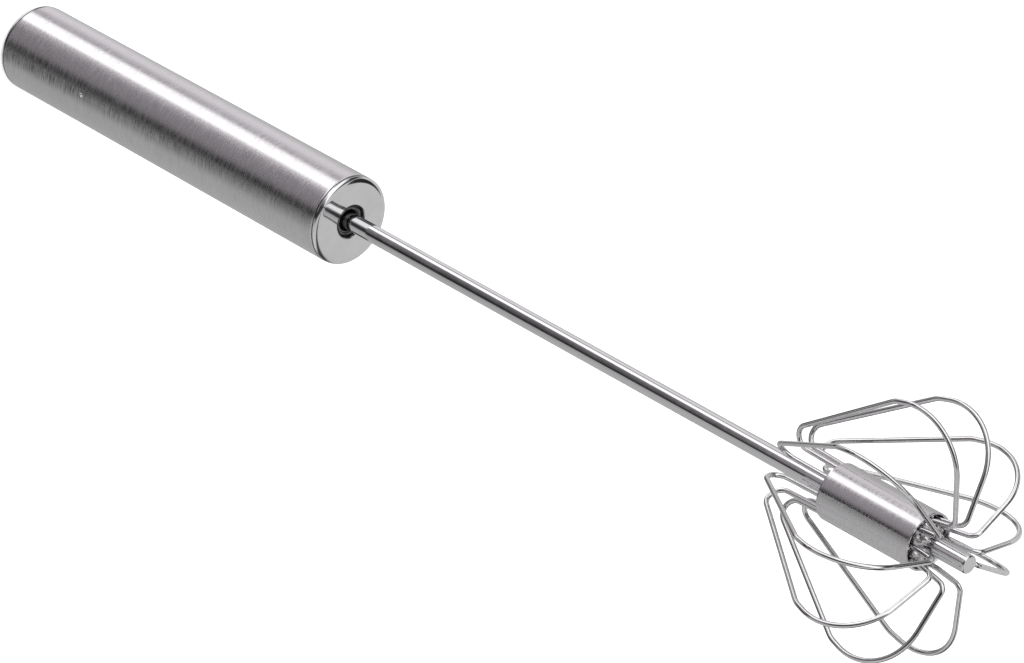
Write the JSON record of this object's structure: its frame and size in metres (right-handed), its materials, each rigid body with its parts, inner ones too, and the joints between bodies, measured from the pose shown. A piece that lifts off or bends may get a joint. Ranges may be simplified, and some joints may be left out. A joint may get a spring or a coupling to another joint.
{
  "type": "egg beater",
  "caption": "Push-down rotary egg beater: tube handle, thin shaft that slides in and spins on a twisted spindle, and a head of bent wire loops.",
  "frame": {"origin": "centre of the flat closed end of the handle, on which the part stands", "axes": "+Z along the common axis of handle and shaft, from the handle's closed end to the tip of the shaft; -Y is the side with the handle's stake dimple"},
  "size_m": [0.0576, 0.0565, 0.317],
  "materials": {
    "brushed_steel": "brushed round the tube",
    "polished_steel": "polished stainless",
    "wire_steel": "bright drawn wire",
    "spring_steel": "plain drawn and pressed steel",
    "weld_metal": "uneven bright weld",
    "black_plastic": "glossy moulded",
    "white_plastic": "natural acetal",
    "black_rubber": "matt"
  },
  "bodies": {
    "handle": {"handle_tube": "brushed_steel", "rear_cap": "polished_steel", "front_plate": "polished_steel", "guide_bush": "black_plastic", "bumper_ring": "black_rubber", "anchor_washer": "spring_steel", "spindle_anchor": "white_plastic", "spring_seat_washer": "spring_steel", "drive_spindle": "spring_steel", "return_spring": "spring_steel"},
    "carriage": {"thrust_washer": "spring_steel", "slider": "white_plastic"},
    "shaft": {"shaft_tube": "polished_steel", "drive_nut": "spring_steel", "slider_collar": "spring_steel", "stop_collar": "spring_steel", "ferrule": "brushed_steel", "ferrule_core": "spring_steel", "weld_ring": "weld_metal", "whisk_wire_01": "wire_steel", "whisk_wire_02": "wire_steel", "whisk_wire_03": "wire_steel", "whisk_wire_04": "wire_steel", "whisk_wire_05": "wire_steel", "whisk_wire_06": "wire_steel", "whisk_wire_07": "wire_steel", "whisk_wire_08": "wire_steel", "whisk_wire_09": "wire_steel", "whisk_wire_10": "wire_steel"}
  },
  "joints": [
    {"name": "push", "type": "slide", "parent": "handle", "child": "carriage", "axis": [0, 0, -1], "range_m": [0, 0.045], "stiffness_N_per_m": 220, "springref_m": -0.012, "deforming": ["return_spring"]},
    {"name": "spin", "type": "hinge", "parent": "carriage", "child": "shaft", "pos_m": [0, 0, 0.0941], "axis": [0, 0, -1], "range_deg": [0, 740]}
  ],
  "couplings": [
    {"joint": "spin", "follows": "push", "rad_per_m": 285.6}
  ]
}
